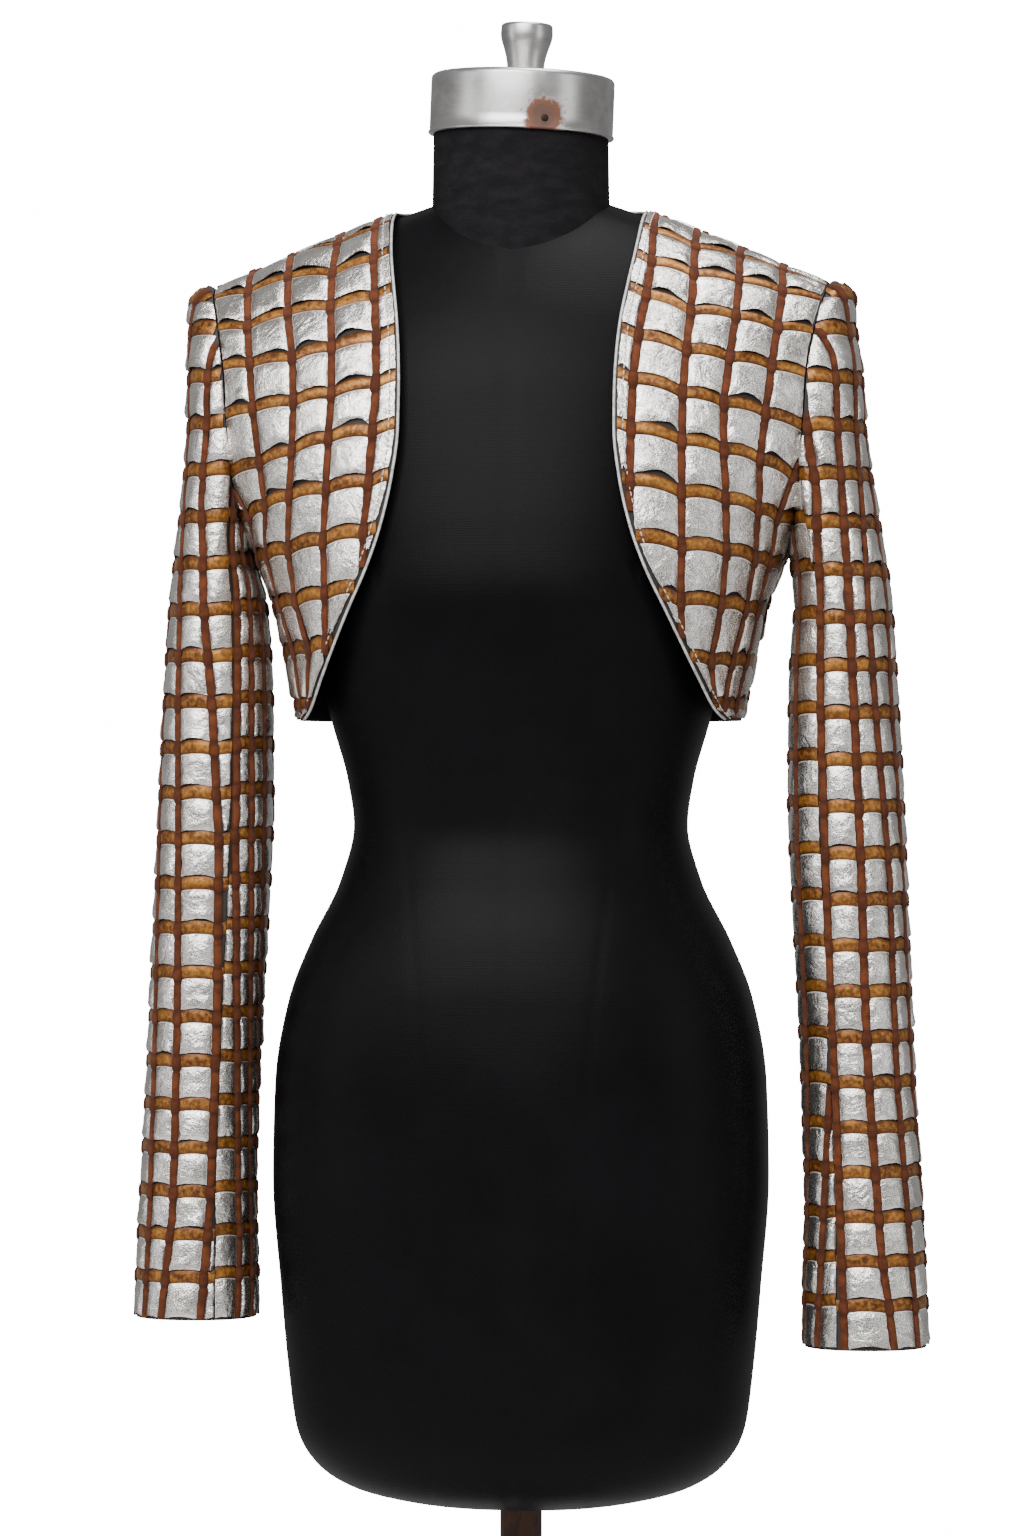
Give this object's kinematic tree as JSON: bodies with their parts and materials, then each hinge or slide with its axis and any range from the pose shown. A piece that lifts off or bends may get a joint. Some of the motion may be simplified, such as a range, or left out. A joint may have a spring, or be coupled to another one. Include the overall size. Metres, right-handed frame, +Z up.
{
  "type": "bolero jacket on a dress form with a neck cap, pole and round base",
  "caption": "Cropped long-sleeved bolero jacket of silver leather woven with brown suede and satin strips, resting on a limbless dress form on a pole and round base.",
  "frame": {"origin": "on the floor, under the middle of the stand's round base", "axes": "+Z up along the pole, the jacket faces -Y and its wearer's left is +X"},
  "size_m": [0.507, 0.33, 1.5685],
  "materials": {
    "silver_leather": "silver foil, creased",
    "suede": "matte suede",
    "satin": "golden brown satin",
    "piping": "silver piping",
    "lining": "black lining",
    "jersey": "black jersey, slight sheen",
    "neck_cloth": "worn black cotton",
    "steel": "brushed, stained",
    "pole": "dark brown paint",
    "base": "black enamel"
  },
  "bodies": {
    "root": {"jacket_back": "silver_leather", "back_lining": "lining", "front_left": "silver_leather", "front_right": "silver_leather", "upper_sleeve_left": "silver_leather", "upper_sleeve_right": "silver_leather", "under_sleeve_left": "silver_leather", "under_sleeve_right": "silver_leather", "edge_piping": "piping", "form_torso": "jersey", "form_neck": "neck_cloth", "neck_cap": "steel", "cap_knob": "steel", "stand_pole": "pole", "stand_base": "base"}
  },
  "joints": []
}
